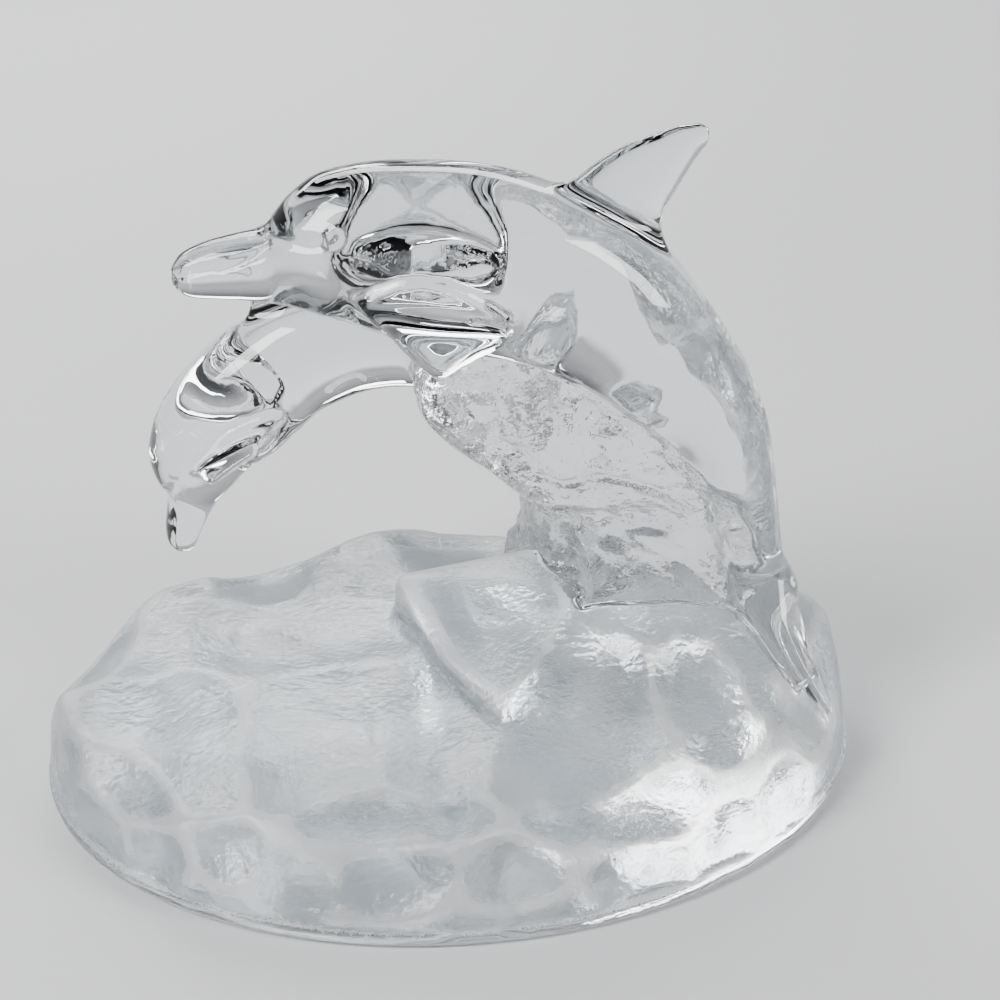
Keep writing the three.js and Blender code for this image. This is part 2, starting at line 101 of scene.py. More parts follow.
# How finely each form is lofted before it goes into that skin
BODY_RINGS = 260
BODY_SIDES = 96
FIN_RINGS = 48
FIN_SIDES = 48
ROCK_RINGS = 70
ROCK_EDGE = 30
BASE_SIDES = 360
WALL_RINGS = 25
TOP_RINGS = 60

# Fillets where the glass runs together
FIN_FILLET = 3.0
FLUKE_FILLET = 1.5
SHOULDER_FILLET = 0.9
BODY_FILLET = 2.6
ROCK_FILLET = 1.6
BASE_FILLET = 2.4

# Scoops on the base: how many small ones there are between the large, with their least and
# greatest reach and depth, then how soft the edges of all are, how far they reach past their own
# size, and how far above the rim they start
SMALL_SCOOPS = 110
SMALL_SCOOP_REACH = (3.5, 7.5)
SMALL_SCOOP_DEPTH = (0.25, 0.6)
SCOOP_EDGE = 0.7
SCOOP_BOUND = 1.8
SCOOP_ABOVE_RIM = 0.7

# Waves on base and rock
BASE_WAVES = {"scale": 2.4, "height": 0.28, "seed": 12}
ROCK_WAVES = {"scale": 1.6, "height": 0.8, "seed": 11, "stretch": 0.7}
ROCK_STREAK = np.array([0.79, 0.0, -0.61])

# The rock's facets, with their least and greatest radius and depth, how much they are tilted and
# how soft their edges are, then how much the rock is swollen before they are cut
ROCK_FACETS = 170
FACET_RADIUS = (5.0, 16.0)
FACET_DEPTH = (0.5, 1.1)
FACET_TILT = 0.07
FACET_EDGE = 0.5
LOWEST_FACET_RING = 6
ROCK_SWELL = 0.6

# The tongue: how far its corners are drawn in, how thick its skin is laid on again, how often its
# edges are evened out, and the hollow in its top
TONGUE_DRAW_IN = 0.05
TONGUE_SKIN = 0.7
TONGUE_ROUNDS = 10
TONGUE_HOLLOW_RADIUS = 60
TONGUE_HOLLOW_DEPTH = 1.3

# Glass: how much it bends light, how see-through it is where it is frosted, how far off the clear
# and the rough glass the frost starts, and over how long a way it sets in
GLASS_IOR = 1.52
FROST_TRANSMISSION = 0.8
FROST_GAP = 0.4
FROST_FADE = 2.0

# Where the skin stands out: how far around a spot that is judged, the least height that counts,
# and over how much more it comes to count in full
STAND_ROUNDS = 14
STAND_LEAST = 0.02
STAND_RANGE = 0.3

# The setting, in metres and watts: half the floor's width, the softboxes as name, place, aim, size
# and power, and the camera
FLOOR_REACH = 3.0
SOFTBOXES = [
    ("key", (-0.5, -0.25, 0.6), (0, 0, 0.05), (0.25, 0.5), 10),
    ("fill", (0.65, -0.3, 0.4), (0, 0, 0.05), (0.18, 0.5), 5.5),
    ("back", (0.05, 0.65, 0.62), (0, 0, 0.06), (0.9, 0.2), 7),
    ("strip", (-0.2, 0.6, 0.36), (0, 0, 0.02), (0.45, 0.09), 2.2),
]
CAMERA_PLACE = (-0.02144, -0.28665, 0.23667)
CAMERA_AIM = (0.0097, 0.0, 0.0565)
CAMERA_LENS = 65.45

HALF_LENGTH = BASE_LENGTH / 2
HALF_DEPTH = BASE_DEPTH / 2
SIDE = np.array([0.0, 1.0, 0.0])
UP = np.array([0.0, 0.0, 1.0])
LARGE_TAIL = np.array([HALF_LENGTH - TAIL_INSET, 0.0, TAIL_HEIGHT])
SMALL_TAIL = LARGE_TAIL + np.array([-SMALL_TAIL_LEFT, SMALL_TAIL_BEHIND, SMALL_TAIL_ABOVE])

# How a dolphin's section changes along it: share of the length from the beak, then the height of
# the back, the depth of the belly and the half width, each as a share of the girth.
BODY_SECTIONS = [
    [0, 0.1, 0.1, 0.12],
    [0.013, 0.225, 0.215, 0.22],
    [0.045, 0.32, 0.28, 0.29],
    [0.078, 0.357, 0.335, 0.34],
    [0.104, 0.39, 0.39, 0.39],
    [0.121, 0.52, 0.43, 0.45],
    [0.137, 0.665, 0.48, 0.53],
    [0.155, 0.785, 0.545, 0.61],
    [0.172, 0.87, 0.605, 0.68],
    [0.195, 0.92, 0.69, 0.75],
    [0.223, 0.955, 0.79, 0.81],
    [0.283, 0.985, 0.965, 0.87],
    [0.335, 1, 1, 0.88],
    [0.4, 0.965, 0.965, 0.86],
    [0.5, 0.89, 0.89, 0.8],
    [0.6, 0.75, 0.75, 0.68],
    [0.7, 0.64, 0.64, 0.57],
    [0.79, 0.495, 0.495, 0.42],
    [0.88, 0.375, 0.375, 0.31],
    [0.95, 0.32, 0.32, 0.27],
    [1, 0.28, 0.28, 0.25],
]

# Poses: the line of the body from the beak to the fluke root, in shares of the length, from the
# fluke root. Each pair is how far left and how far up.
LARGE_POSE = [
    [0.716, 0.487], [0.609, 0.497], [0.477, 0.503], [0.345, 0.483], [0.234, 0.433],
    [0.148, 0.349], [0.082, 0.25], [0.043, 0.145], [0.016, 0.046], [0, 0],
]
SMALL_POSE = [
    [0.712, -0.214], [0.684, -0.111], [0.664, -0.055], [0.633, 0.016], [0.572, 0.084],
    [0.502, 0.137], [0.427, 0.162], [0.35, 0.163], [0.265, 0.148], [0.162, 0.115],
    [0.06, 0.053], [0, 0],
]
DORSAL_AT = 0.458

# Where the flippers sit and how they spread: share of the length, drop and spread of the root as
# shares of the girth, how far the span leans down and back for each unit outwards, then how far
# the blade is turned towards the belly, in degrees.
LARGE_FLIPPER = {"at": 0.29, "drop": 0.2, "spread": 0.6, "down": 0.58, "sweep": 0.0, "turn": 0}
SMALL_FLIPPER = {"at": 0.27, "drop": 0.12, "spread": 0.6, "down": -0.1, "sweep": -0.4, "turn": 24}

# Marks on a dolphin's skin: share of the length from the beak, and degrees round from the back
MOUTH_LINE = [
    [0.006, 74], [0.012, 70], [0.024, 65], [0.041, 65], [0.058, 67], [0.074, 63], [0.095, 53],
    [0.113, 43],
]
MELON_CREASE = [[0.114, 14], [0.12, 36], [0.138, 54], [0.158, 62], [0.17, 62]]
EYE_MARK = [0.184, 58]
EYE_SIZE = 1.1
FLIPPER_LEDGE = [
    [0.214, 106], [0.228, 95.5], [0.251, 89], [0.274, 87], [0.3, 88], [0.325, 92.5], [0.352, 98],
    [0.37, 103], [0.376, 110],
]
LEDGE_SWELL = 1.2

# The crease across the rock's front, in millimetres, with its radius and how soft its edge is
ROCK_CREASE = [
    [16.1, -2.5, 62.4], [21.3, -2.5, 60.8], [27.8, -4.0, 62.7], [33.2, -4.1, 61.8],
    [39.3, -3.5, 58.5], [45.6, -1.6, 53.9],
]
CREASE_RADIUS = 0.9
CREASE_EDGE = 0.6

# The lobes round the wall of the base: how many, and the direction of the first
LOBES = 8
LOBE_START = math.radians(140)

# Fin outlines: share of the span from the root, then the leading edge, the trailing edge and the
# thickness, each as a share of the span.
DORSAL_OUTLINE = [
    [-0.25, -0.6, 0.62, 0.3],
    [0, -0.5, 0.5, 0.27],
    [0.17, -0.41, 0.4, 0.24],
    [0.4, -0.3, 0.395, 0.2],
    [0.6, -0.17, 0.4, 0.17],
    [0.75, -0.02, 0.41, 0.14],
    [0.9, 0.13, 0.43, 0.11],
    [1, 0.28, 0.37, 0.06],
]
FLIPPER_OUTLINE = [
    [-0.35, -0.78, 0.72, 0.36],
    [0, -0.8, 0.74, 0.32],
    [0.2, -0.77, 0.76, 0.28],
    [0.4, -0.62, 0.8, 0.24],
    [0.55, -0.46, 0.78, 0.21],
    [0.7, -0.34, 0.55, 0.18],
    [0.85, -0.2, 0.32, 0.14],
    [1, -0.02, 0.14, 0.08],
]
FLUKE_OUTLINE = [
    [-0.14, -0.24, 0.22, 0.42],
    [0.1, -0.21, 0.24, 0.38],
    [0.35, -0.12, 0.26, 0.24],
    [0.6, 0, 0.29, 0.16],
    [0.85, 0.16, 0.32, 0.1],
    [1, 0.28, 0.34, 0.07],
]

# Levels of the rock, in shares of its height: height, then its four corners, front left, front
# right, back right and back left. Each corner is how far left of the large dolphin's tail and how
# far back it lies, in shares of the rock's length.
ROCK_LEVELS = [
    [0.22, 0.71, 0.08, 0.01, -0.02, 0.01, 0.64, 0.95, 0.78],
    [0.34, 0.71, 0.08, 0.05, 0, 0.03, 0.64, 0.89, 0.72],
    [0.42, 0.72, 0.08, 0.07, 0, 0.07, 0.64, 0.88, 0.68],
    [0.5, 0.75, 0.08, 0.11, -0.02, 0.11, 0.62, 0.89, 0.62],
    [0.56, 0.82, 0.08, 0.15, -0.04, 0.17, 0.62, 0.93, 0.58],
    [0.61, 0.94, 0, 0.21, -0.06, 0.23, 0.62, 1.01, 0.58],
    [0.655, 1.01, -0.02, 0.27, -0.08, 0.29, 0.62, 1.09, 0.58],
    [0.71, 1.1, -0.04, 0.33, -0.1, 0.35, 0.6, 1.17, 0.56],
    [0.77, 1.24, -0.04, 0.39, -0.1, 0.41, 0.6, 1.27, 0.54],
    [0.83, 1.33, -0.02, 0.45, -0.08, 0.49, 0.58, 1.31, 0.52],
    [0.88, 1.31, 0.04, 0.57, -0.06, 0.57, 0.54, 1.28, 0.52],
    [0.94, 1.21, 0.08, 0.73, 0, 0.73, 0.48, 1.21, 0.48],
    [1, 1.13, 0.12, 0.81, 0.04, 0.81, 0.4, 1.13, 0.4],
]

# Corners of the tongue of glass before the rock, placed as the rock's are, with the height as a
# share of the tongue's. The first is the upright crest and the third is the tip.
TONGUE_CORNERS = [
    [1.46, 0.38, 1], [1.29, -0.06, 0.85], [1.09, -0.42, 0.74], [0.81, -0.06, 0.93],
    [0.71, 0.16, 1.07], [0.81, 0.48, 1.07], [1.33, 0.68, 0.6], [0.89, 0.8, 0.62],
]

# Shallow scoops that dimple the base: x and y, then the reach along x and y, as shares of the
# base's half length and half depth, and the depth as a share of the scoops' depth.
SCOOPS = [
    [-0.64, -0.2, 0.15, 0.5, 1.1], [-0.34, -0.31, 0.21, 0.5, 1.4],
    [-0.05, -0.35, 0.17, 0.42, 1.3], [-0.81, -0.12, 0.13, 0.36, 1],
    [-0.74, -0.5, 0.16, 0.2, 1.1], [-0.87, -0.48, 0.12, 0.24, 1.2],
    [-0.71, -0.68, 0.14, 0.2, 1.3], [-0.55, -0.76, 0.14, 0.22, 1.4],
    [-0.41, -0.87, 0.14, 0.2, 1.4], [-0.19, -0.92, 0.18, 0.2, 1.4],
    [-0.23, -0.7, 0.16, 0.15, 1.2], [-0.04, -0.77, 0.12, 0.15, 1.1],
    [0.08, -0.94, 0.18, 0.2, 1.4], [0.3, -0.46, 0.19, 0.38, 1.5],
    [0.2, -0.8, 0.13, 0.15, 1.2], [0.4, -0.78, 0.17, 0.17, 1.2],
    [0.34, -0.93, 0.17, 0.2, 1.4], [0.55, -0.83, 0.13, 0.2, 1.3],
    [0.56, -0.36, 0.14, 0.2, 1.2], [0.6, -0.58, 0.12, 0.18, 1],
    [0.73, -0.66, 0.14, 0.24, 1.3], [0.84, -0.4, 0.13, 0.24, 1.2],
    [-0.39, 0.26, 0.3, 0.32, 1.2], [0.14, -0.52, 0.11, 0.22, 0.9],
    [-0.47, 0.7, 0.14, 0.3, 1.7], [-0.88, 0.2, 0.11, 0.22, 1.3],
    [0.07, 0.82, 0.2, 0.3, 1.7], [0.38, 0.82, 0.17, 0.2, 1.2],
    [0.67, 0.62, 0.15, 0.22, 1.2],
]

# The block of space that the forms are worked out in, a little larger than the figurine
SPACE_LOW = np.array([-HALF_LENGTH - 3, -HALF_DEPTH - 3, -4.0])
SPACE_HIGH = np.array([HALF_LENGTH + 3, HALF_DEPTH + 3, 133.0])
ORIGIN = np.floor(SPACE_LOW / VOXEL).astype(int)
FIRST_CELL = tuple(int(n) for n in ORIGIN)
SHAPE = tuple(int(n) for n in np.ceil(SPACE_HIGH / VOXEL).astype(int) - ORIGIN)
AXES = [(ORIGIN[k] + np.arange(SHAPE[k])) * VOXEL for k in range(3)]
SPACE = vdb.createLinearTransform(VOXEL)


def smoothstep(value):
    """A soft rise from 0 to 1."""
    t = np.clip(value, 0.0, 1.0)
    return t * t * (3 - 2 * t)


def read_table(rows, share):
    """Reads rows [share, value, value...] with a smooth curve through every column."""
    rows = np.asarray(rows, float)
    share = np.atleast_1d(np.asarray(share, float))
    last = len(rows) - 1
    i = np.clip(np.searchsorted(rows[:, 0], share, side="left") - 1, 0, last - 1)
    a, b = rows[i], rows[i + 1]
    before, after = rows[np.maximum(i - 1, 0)], rows[np.minimum(i + 2, last)]
    width = b[:, :1] - a[:, :1]
    t = np.clip((share[:, None] - a[:, :1]) / width, 0, 1)
    start = (b - before) / (b[:, :1] - before[:, :1]) * width
    end = (after - a) / (after[:, :1] - a[:, :1]) * width
    rise = b - a
    read = a + start * t + (3 * rise - 2 * start - end) * t**2 + (start + end - 2 * rise) * t**3
    return read[:, 1:]


class Spine:
    """A centripetal curve through points, read by its share of the length."""

    def __init__(self, points):
        points = np.asarray(points, float)
        first = 2 * points[0] - points[1]
        final = 2 * points[-1] - points[-2]
        knots = np.vstack([first, points, final])
        gaps = np.sqrt(np.linalg.norm(np.diff(knots, axis=0), axis=1))
        times = np.concatenate([[0], np.cumsum(gaps)])
        fine = []
        for i in range(1, len(knots) - 2):
            t = np.linspace(times[i], times[i + 1], 60, endpoint=False)[:, None]
            p, k = knots[i - 1 : i + 3], times[i - 1 : i + 3]
            a1 = (k[1] - t) / (k[1] - k[0]) * p[0] + (t - k[0]) / (k[1] - k[0]) * p[1]
            a2 = (k[2] - t) / (k[2] - k[1]) * p[1] + (t - k[1]) / (k[2] - k[1]) * p[2]
            a3 = (k[3] - t) / (k[3] - k[2]) * p[2] + (t - k[2]) / (k[3] - k[2]) * p[3]
            b1 = (k[2] - t) / (k[2] - k[0]) * a1 + (t - k[0]) / (k[2] - k[0]) * a2
            b2 = (k[3] - t) / (k[3] - k[1]) * a2 + (t - k[1]) / (k[3] - k[1]) * a3
            fine.append((k[2] - t) / (k[2] - k[1]) * b1 + (t - k[1]) / (k[2] - k[1]) * b2)
        self.points = np.vstack(fine + [points[-1:]])
        steps = np.linalg.norm(np.diff(self.points, axis=0), axis=1)
        self.shares = np.concatenate([[0], np.cumsum(steps)])
        self.shares /= self.shares[-1]

    def at(self, share):
        """The spots at some shares of the length."""
        return np.array([np.interp(share, self.shares, self.points[:, k]) for k in range(3)]).T

    def along(self, share):
        """The directions of the curve there, from the beak on."""
        step = 0.004
        tangent = self.at(np.minimum(share + step, 1)) - self.at(np.maximum(share - step, 0))
        return tangent / np.linalg.norm(tangent, axis=-1, keepdims=True)


class Dolphin:
    """A dolphin's line and girth, with the directions of its tail and of its back."""

    def __init__(self, length, girth, tail, pose):
        self.girth = girth
        self.spine = Spine([tail + np.array([-left * length, 0, up * length]) for left, up in pose])

    def frame_at(self, share):
        """The middle, the direction along the body and the direction of the back."""
        share = np.atleast_1d(np.asarray(share, float))
        along = self.spine.along(share)
        back = np.cross(along, SIDE)
        back /= np.linalg.norm(back, axis=1, keepdims=True)
        return self.spine.at(share), along, back

    def skin(self, share, angle):
        """A spot on the body: angle 0 is the middle of the back, 90 degrees the right flank."""
        centre, along, back = self.frame_at(share)
        side = np.cross(back, along)
        up, down, flank = (read_table(BODY_SECTIONS, share) * self.girth).T
        rise = np.cos(angle)
        reach = rise * np.where(rise > 0, up, down)
        return centre + back * reach[:, None] + side * (np.sin(angle) * flank)[:, None]


def loft(rings):
    """Points and triangles of one closed skin through rings of equally many points."""
    count, sides = rings.shape[:2]
    points = np.vstack([rings.reshape(-1, 3), rings[0].mean(0), rings[-1].mean(0)])
    j = np.arange(sides)
    k = (j + 1) % sides
    faces = []
    for i in range(count - 1):
        row, above = i * sides, (i + 1) * sides
        faces.append(np.stack([row + j, row + k, above + k], 1))
        faces.append(np.stack([row + j, above + k, above + j], 1))
    faces.append(np.stack([np.full(sides, len(points) - 2), k, j], 1))
    row = (count - 1) * sides
    faces.append(np.stack([np.full(sides, len(points) - 1), row + j, row + k], 1))
    return points, np.vstack(faces)


def field_of(points, faces):
    """The distance to a closed skin, negative inside, over the whole space."""
    grid = vdb.FloatGrid.createLevelSetFromPolygons(
        np.ascontiguousarray(points, np.float32),
        triangles=np.ascontiguousarray(faces, np.uint32),
        transform=SPACE,
        halfWidth=BAND,
    )
    field = np.empty(SHAPE, np.float32)
    grid.copyToArray(field, ijk=FIRST_CELL)
    return field


def join(a, b, fillet):
    """Both forms as one, with a fillet where they meet."""
    near = np.maximum(fillet - np.abs(a - b), 0) / fillet
    return np.minimum(a, b) - near * near * (fillet / 4)


def window(low, high):
    """The part of the space between two corners, as slices, and the spots in it."""
    cut = []
    for k in range(3):
        start = max(0, int(np.floor(low[k] / VOXEL)) - ORIGIN[k])
        stop = min(SHAPE[k], int(np.ceil(high[k] / VOXEL)) - ORIGIN[k] + 1)
        cut.append(slice(start, stop))
    x, y, z = (AXES[k][cut[k]] for k in range(3))
    return tuple(cut), (x[:, None, None], y[None, :, None], z[None, None, :])


def body_field(dolphin):
    """A dolphin's body, from beak to fluke root."""
    shares = np.linspace(0, 1, BODY_RINGS)
    angles = np.linspace(0, 2 * np.pi, BODY_SIDES, endpoint=False)
    rings = np.stack([dolphin.skin(shares, np.full(len(shares), a)) for a in angles], 1)
    return field_of(*loft(rings))


def fin_field(root, span_axis, chord_axis, span, outline):
    """A fin of almond-shaped sections that follow an outline from root to tip."""
    span_axis = span_axis / np.linalg.norm(span_axis)
    thick = np.cross(span_axis, chord_axis)
    thick /= np.linalg.norm(thick)
    chord = np.cross(thick, span_axis)
    first = outline[0][0]
    shares = first + (1 - first) * np.sin(np.linspace(0, np.pi / 2, FIN_RINGS)) ** 0.9
    lead, trail, depth = (read_table(outline, shares) * span).T
    angles = np.linspace(0, 2 * np.pi, FIN_SIDES, endpoint=False)
    across = (lead + trail)[:, None] / 2 + (trail - lead)[:, None] / 2 * np.cos(angles)
    lift = depth[:, None] / 2 * np.sin(angles)
    rings = (
        root
        + (shares * span)[:, None, None] * span_axis
        + across[:, :, None] * chord
        + lift[:, :, None] * thick
    )
    return field_of(*loft(rings))


def dorsal_field(dolphin, span):
    """The fin on the back."""
    centre, along, back = (v[0] for v in dolphin.frame_at(DORSAL_AT))
    up = read_table(BODY_SECTIONS, DORSAL_AT)[0][0]
    root = centre + back * (up * dolphin.girth - 0.03 * span)
    return fin_field(root, back, along, span, DORSAL_OUTLINE)


def flipper_field(dolphin, span, side, at, drop, spread, down, sweep, turn):
    """One flipper; side is 1 or -1."""
    centre, along, back = (v[0] for v in dolphin.frame_at(at))
    root = centre - back * (drop * dolphin.girth) + SIDE * (side * spread * dolphin.girth)
    chord = along * math.cos(math.radians(turn)) - back * math.sin(math.radians(turn))
    return fin_field(root, SIDE * side - back * down + along * sweep, chord, span, FLIPPER_OUTLINE)


def fluke_field(dolphin, span, side):
    """One half of the flukes; side is 1 or -1."""
    centre, along, back = (v[0] for v in dolphin.frame_at(0.985))
    chord = np.array([0.9, 0.0, -0.45])
    return fin_field(centre, SIDE * side - UP * 0.36 + along * 0.12, chord, span, FLUKE_OUTLINE)


def rock_field():
    """The rock before it is roughened, and the rings that it is lofted from."""
    low = ROCK_LEVELS[0][0]
    shares = np.linspace(low, 1, ROCK_RINGS)
    corners = read_table(ROCK_LEVELS, shares) * ROCK_LENGTH
    corners[:, 0::2] = LARGE_TAIL[0] - corners[:, 0::2]
    corners = corners.reshape(len(shares), 4, 2)
    centre = corners.mean(1, keepdims=True)
    t = np.arange(ROCK_EDGE)[None, :, None] / ROCK_EDGE
    sides = []
    for c in range(4):
        a, b = corners[:, c : c + 1], corners[:, (c + 1) % 4][:, None]
        bow = 1 + 0.06 * np.sin(np.pi * t)
        sides.append((a + (b - a) * t - centre) * bow + centre)
    flat = np.concatenate(sides, 1)
    height = shares * ROCK_HEIGHT
    height[0] -= ROCK_SINK
    rings = np.concatenate([flat, np.broadcast_to(height[:, None, None], flat.shape[:2] + (1,))], 2)
    return field_of(*loft(rings)), rings


def lobe_at(cx, cy):
    """How far the wall swells out in a direction, from -1 to 1."""
    return np.cos(LOBES * (np.arctan2(cy, cx) - LOBE_START))


def slope_width(cx, cy):
    """How wide the rounded wall is: widest at the front, and narrow where a lobe swells out."""
    front = np.maximum(0, -cy) ** 1.4
    width = END_SLOPE_WIDTH + (FRONT_SLOPE_WIDTH - END_SLOPE_WIDTH) * front
    return width - LOBE_REACH * lobe_at(cx, cy)


def base_height(x, y):
    """The height of the base's skin over a spot."""
    radius = np.minimum(1, np.hypot(x / HALF_LENGTH, y / HALF_DEPTH))
    cx = x / HALF_LENGTH / np.maximum(radius, 0.01)
    cy = y / HALF_DEPTH / np.maximum(radius, 0.01)
    width = slope_width(cx, cy)
    inset = np.minimum(1, HALF_DEPTH * (1 - radius) / width)
    climb = np.exp(
        -(((x - 0.55 * HALF_LENGTH) / (0.42 * HALF_LENGTH)) ** 2)
        - ((y - 0.1 * HALF_DEPTH) / (0.62 * HALF_DEPTH)) ** 2
    )
    plateau = PLATEAU_HEIGHT - BACK_DROP * smoothstep(y / (0.8 * HALF_DEPTH))
    plateau = plateau + LOBE_RISE * lobe_at(cx, cy) * smoothstep((radius - 0.55) / 0.3)
    top = plateau + (MOUND_HEIGHT - plateau) * climb
    return RIM_HEIGHT + (top - RIM_HEIGHT) * np.sqrt(1 - (1 - inset) ** 2)


def base_field():
    """The base before it is carved: a flat foot, an upright rim, a step and a rounded wall."""
    angles = np.linspace(0, 2 * np.pi, BASE_SIDES, endpoint=False)
    round_ = np.stack([np.cos(angles), np.sin(angles)], 1)
    sizes = np.array([HALF_LENGTH, HALF_DEPTH])

    def foot_ring(inset, height):
        flat = round_ * (sizes - inset)
        return np.column_stack([flat, np.full(len(flat), height)])

    rings = [
        foot_ring(RIM_BEVEL, 0.0),
        foot_ring(0, RIM_BEVEL),
        foot_ring(0, RIM_HEIGHT),
        foot_ring(RIM_STEP, RIM_HEIGHT),
    ]
    width = slope_width(round_[:, 0], round_[:, 1])
    for slope in np.linspace(0, np.pi / 2, WALL_RINGS + 1)[1:]:
        shrink = 1 - width * (1 - np.cos(slope)) / HALF_DEPTH
        flat = round_ * sizes * shrink[:, None]
        stepped = flat - round_ * (RIM_STEP * np.cos(slope))
        rings.append(np.column_stack([stepped, base_height(flat[:, 0], flat[:, 1])]))
    edge = rings[-1]
    for share in np.linspace(1, 0, TOP_RINGS)[1:-1]:
        flat = edge[:, :2] * share
        rings.append(np.column_stack([flat, base_height(flat[:, 0], flat[:, 1])]))
    return field_of(*loft(np.array(rings)))


def carve(field, shape_at, low, high, edge):
    """Cuts away where shape_at is above nought, with a soft edge."""
    cut, spots = window(low, high)
    part = field[cut]
    dish = shape_at(*spots).astype(np.float32)
    field[cut] = -join(-part, -dish, edge)


def scoop(field, x, y, reach_x, reach_y, depth):
    """A shallow dish that opens along the base's own slope."""
    step = HALF_LENGTH / 40
    slope_x = (base_height(x + step, y) - base_height(x - step, y)) / (2 * step)
    slope_y = (base_height(x, y + step) - base_height(x, y - step)) / (2 * step)
    normal = np.array([-slope_x, -slope_y, 1.0])
    normal /= np.linalg.norm(normal)
    across = np.array([1.0, 0.0, slope_x])
    across /= np.linalg.norm(across)
    along = np.cross(normal, across)
    centre = np.array([x, y, base_height(x, y)])

    def dish(px, py, pz):
        dx, dy, dz = px - centre[0], py - centre[1], pz - centre[2]
        u = (dx * across[0] + dy * across[1] + dz * across[2]) / reach_x
        v = (dx * along[0] + dy * along[1] + dz * along[2]) / reach_y
        w = dx * normal[0] + dy * normal[1] + dz * normal[2]
        lift = depth * (u * u + v * v - 1)
        steep = np.sqrt(1 + (2 * depth * u / reach_x) ** 2 + (2 * depth * v / reach_y) ** 2)
        inside = (SCOOP_BOUND - np.sqrt(u * u + v * v)) * min(reach_x, reach_y)
        above = pz - RIM_HEIGHT - SCOOP_ABOVE_RIM
        return np.minimum(np.minimum((w - lift) / steep, inside), above)

    reach = max(reach_x, reach_y) * 1.15 + 2
    carve(field, dish, centre - reach, centre + reach, SCOOP_EDGE)


def lattice_round(points, margin):
    """The eight lattice spots round each point, each with how much it counts there."""
    spots = points / VOXEL - ORIGIN
    cell = np.clip(np.floor(spots).astype(int), margin, np.array(SHAPE) - 2 - margin)
    t = spots - cell
    for step in itertools.product((0, 1), repeat=3):
        near = np.abs(1 - np.array(step) - t)
        yield (cell + step).T, near[:, 0] * near[:, 1] * near[:, 2]


def value_at(field, points):
    """The distance read at each point."""
    out = np.zeros(len(points))
    for (i, j, k), weight in lattice_round(points, 0):
        out += field[i, j, k] * weight
    return out


def slope_at(field, points):
    """The outward direction of the skin at each point, from how the distance grows."""
    out = np.zeros((len(points), 3))
    for (i, j, k), weight in lattice_round(points, 1):
        change_x = field[i + 1, j, k] - field[i - 1, j, k]
        change_y = field[i, j + 1, k] - field[i, j - 1, k]
        change_z = field[i, j, k + 1] - field[i, j, k - 1]
        out += np.stack([change_x, change_y, change_z], 1) * weight[:, None]
    return out / np.maximum(np.linalg.norm(out, axis=1, keepdims=True), 1e-9)


def settle(field, spots):
    """Moves spots that lie near the skin onto it."""
    spots = np.array(spots, float)
    for _ in range(4):
        spots = spots - slope_at(field, spots) * value_at(field, spots)[:, None]
    return spots


def groove(field, path, radius, edge=0.6):
    """Presses a round channel along a path of spots."""
    path = np.asarray(path, float)

    def channel(px, py, pz):
        nearest = None
        for a, b in zip(path[:-1], path[1:]):
            ab = b - a
            t = ((px - a[0]) * ab[0] + (py - a[1]) * ab[1] + (pz - a[2]) * ab[2]) / (ab @ ab)
            t = np.clip(t, 0, 1)
            dx, dy, dz = px - a[0] - t * ab[0], py - a[1] - t * ab[1], pz - a[2] - t * ab[2]
            gap = np.sqrt(dx**2 + dy**2 + dz**2)
            nearest = gap if nearest is None else np.minimum(nearest, gap)
        return radius - nearest

    carve(field, channel, path.min(0) - radius - 2, path.max(0) + radius + 2, edge)


def dimple(field, spot, outward, radius, depth, edge=0.8):
    """Presses one round dimple into the skin."""
    outward = outward / np.linalg.norm(outward)
    centre = spot + outward * (radius - depth)
    reach = math.sqrt(max(radius**2 - (radius - depth) ** 2, 0)) + 1.5

    def ball(px, py, pz):
        dx, dy, dz = px - centre[0], py - centre[1], pz - centre[2]
        return radius - np.sqrt(dx**2 + dy**2 + dz**2)

    carve(field, ball, spot - reach, spot + reach, edge)


def eye(field, spot, outward, size):
    """A raised ring with a bead inside, for an eye."""
    outward = outward / np.linalg.norm(outward)
    cut, (px, py, pz) = window(spot - 3 * size, spot + 3 * size)
    dx, dy, dz = px - spot[0], py - spot[1], pz - spot[2]
    lift = dx * outward[0] + dy * outward[1] + dz * outward[2]
    across = np.sqrt(np.maximum(dx**2 + dy**2 + dz**2 - lift**2, 0))
    ring = np.hypot(across - size, lift) - 0.38 * size
    bead = np.sqrt(across**2 + (lift + 0.35 * size) ** 2) - 0.62 * size
    part = join(field[cut], ring.astype(np.float32), 0.5)
    field[cut] = join(part, bead.astype(np.float32), 0.4)


def merge(fields, fillet):
    """Several forms as one, with fillets."""
    whole = fields[0]
    for other in fields[1:]:
        whole = join(whole, other, fillet)
    return whole


def blurred(field, low, high, rounds):
    """The field with every spot between two corners evened out with its neighbours."""
    cut, _ = window(low, high)
    part = field[cut]
    for _ in range(rounds):
        for k in range(3):
            part = (np.roll(part, 1, k) + np.roll(part, -1, k) + part * 2) / 4
    even = field.copy()
    even[cut] = part
    return even


def hull_field(points):
    """The distance to the convex skin around a set of points."""
    work = bmesh.new()
    for p in points:
        work.verts.new(p)
    bmesh.ops.convex_hull(work, input=work.verts)
    bmesh.ops.triangulate(work, faces=work.faces)
    work.verts.index_update()
    faces = [[v.index for v in f.verts] for f in work.faces]
    spots = np.array([v.co[:] for v in work.verts])
    work.free()
    return field_of(spots, np.array(faces))


def marks_on(dolphin, marks, side):
    """Spots on a dolphin's skin from pairs of share and angle; side is -1 or 1."""
    share, angle = np.array(marks).T
    return dolphin.skin(share, side * np.radians(angle))


